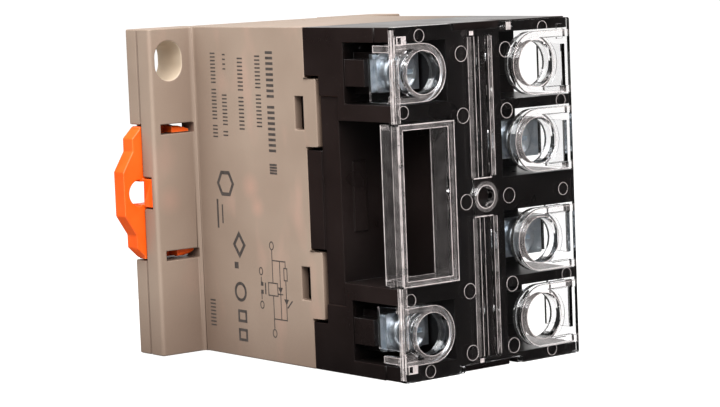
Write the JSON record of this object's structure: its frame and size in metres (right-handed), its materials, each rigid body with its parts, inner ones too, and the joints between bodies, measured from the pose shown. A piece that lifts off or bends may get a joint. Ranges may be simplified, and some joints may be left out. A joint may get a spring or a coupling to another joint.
{
  "type": "rail-mounted power relay",
  "caption": "Box-shaped power relay with a grey base, black terminal housing, clear touch guard over the screw terminals and a sliding orange rail clip.",
  "frame": {"origin": "middle of the rail seat, halfway along the case", "axes": "+Y out of the back towards the rail, -Y towards the terminals, +X across the rail away from the clip's handle, +Z along the rail"},
  "size_m": [0.0701, 0.0729, 0.066],
  "materials": {
    "grey_case": "fine satin texture, light warm grey polyamide",
    "black_case": "glossy black polyamide",
    "clear_guard": "clear polycarbonate, polished",
    "orange_clip": "satin orange polyamide",
    "zinc_plate": "blue passivated zinc plate",
    "natural_nylon": "natural polyamide",
    "copper": "enamelled copper",
    "iron": "soft iron, thin nickel plate",
    "spring_steel": "drawn spring wire",
    "phenolic": "laminate board",
    "contact_silver": "silver alloy, matt",
    "board": "solder mask on glass laminate",
    "green_lens": "tinted lens",
    "resistor": "lacquered ceramic",
    "diode": "moulded epoxy"
  },
  "bodies": {
    "case": {"base_housing": "grey_case", "terminal_housing": "black_case", "coil_a_strap": "zinc_plate", "coil_b_strap": "zinc_plate", "load_a_strap": "zinc_plate", "load_b_strap": "zinc_plate", "coil_bobbin": "natural_nylon", "coil_winding": "copper", "iron_core": "iron", "yoke": "iron", "return_spring": "spring_steel", "insulating_divider": "phenolic", "fixed_contact_a": "contact_silver", "fixed_contact_b": "contact_silver", "circuit_board": "board", "status_lamp": "green_lens", "series_resistor": "resistor", "flyback_diode": "diode", "coil_lead_a": "copper", "coil_lead_b": "copper"},
    "rail_clip": {"rail_clip": "orange_clip"},
    "touch_guard": {"touch_guard": "clear_guard"},
    "coil_a_clamp": {"coil_a_clamp": "zinc_plate"},
    "coil_a_screw": {"coil_a_screw": "zinc_plate"},
    "coil_b_clamp": {"coil_b_clamp": "zinc_plate"},
    "coil_b_screw": {"coil_b_screw": "zinc_plate"},
    "load_a_clamp": {"load_a_clamp": "zinc_plate"},
    "load_a_screw": {"load_a_screw": "zinc_plate"},
    "load_b_clamp": {"load_b_clamp": "zinc_plate"},
    "load_b_screw": {"load_b_screw": "zinc_plate"},
    "armature": {"armature": "iron"},
    "contact_carrier": {"contact_carrier": "natural_nylon", "contact_spring": "spring_steel"},
    "contact_bridge": {"contact_bridge": "copper", "moving_contact_a": "contact_silver", "moving_contact_b": "contact_silver"}
  },
  "joints": [
    {"name": "rail_clip_slide", "type": "slide", "parent": "case", "child": "rail_clip", "axis": [-1, 0, 0], "range_m": [0, 0.0035], "stiffness_N_per_m": 1000, "springref_m": -0.001},
    {"name": "touch_guard_slide", "type": "slide", "parent": "case", "child": "touch_guard", "axis": [0, -1, 0], "range_m": [0, 0.012]},
    {"name": "coil_a_clamp_slide", "type": "slide", "parent": "case", "child": "coil_a_clamp", "axis": [0, -1, 0], "range_m": [0, 0.00245]},
    {"name": "coil_a_screw_turn", "type": "hinge", "parent": "coil_a_clamp", "child": "coil_a_screw", "pos_m": [-0.0157, -0.0633, 0.0244], "axis": [0, -1, 0], "range_deg": [0, 1262]},
    {"name": "coil_b_clamp_slide", "type": "slide", "parent": "case", "child": "coil_b_clamp", "axis": [0, -1, 0], "range_m": [0, 0.00245]},
    {"name": "coil_b_screw_turn", "type": "hinge", "parent": "coil_b_clamp", "child": "coil_b_screw", "pos_m": [-0.0157, -0.0633, -0.0244], "axis": [0, -1, 0], "range_deg": [0, 1262]},
    {"name": "load_a_clamp_slide", "type": "slide", "parent": "case", "child": "load_a_clamp", "axis": [0, -1, 0], "range_m": [0, 0.00245]},
    {"name": "load_a_screw_turn", "type": "hinge", "parent": "load_a_clamp", "child": "load_a_screw", "pos_m": [0.0126, -0.0633, 0.0096], "axis": [0, -1, 0], "range_deg": [0, 1262]},
    {"name": "load_b_clamp_slide", "type": "slide", "parent": "case", "child": "load_b_clamp", "axis": [0, -1, 0], "range_m": [0, 0.00245]},
    {"name": "load_b_screw_turn", "type": "hinge", "parent": "load_b_clamp", "child": "load_b_screw", "pos_m": [0.0126, -0.0633, -0.0096], "axis": [0, -1, 0], "range_deg": [0, 1262]},
    {"name": "armature_pivot", "type": "hinge", "parent": "case", "child": "armature", "pos_m": [-0.0184, -0.0348, 0], "axis": [0, 0, 1], "range_deg": [0, 5]},
    {"name": "contact_carrier_slide", "type": "slide", "parent": "case", "child": "contact_carrier", "axis": [0, 1, 0], "range_m": [0, 0.00252], "stiffness_N_per_m": 300, "springref_m": -0.003, "deforming": ["return_spring"]},
    {"name": "contact_bridge_slide", "type": "slide", "parent": "contact_carrier", "child": "contact_bridge", "axis": [0, -1, 0], "range_m": [0, 0.0005], "stiffness_N_per_m": 800, "springref_m": -0.001, "deforming": ["contact_spring"]}
  ],
  "couplings": [
    {"joint": "coil_a_screw_turn", "follows": "coil_a_clamp_slide", "rad_per_m": 8976},
    {"joint": "coil_b_screw_turn", "follows": "coil_b_clamp_slide", "rad_per_m": 8976},
    {"joint": "load_a_screw_turn", "follows": "load_a_clamp_slide", "rad_per_m": 8976},
    {"joint": "load_b_screw_turn", "follows": "load_b_clamp_slide", "rad_per_m": 8976},
    {"joint": "armature_pivot", "follows": "contact_carrier_slide", "rad_per_m": 34.6}
  ]
}
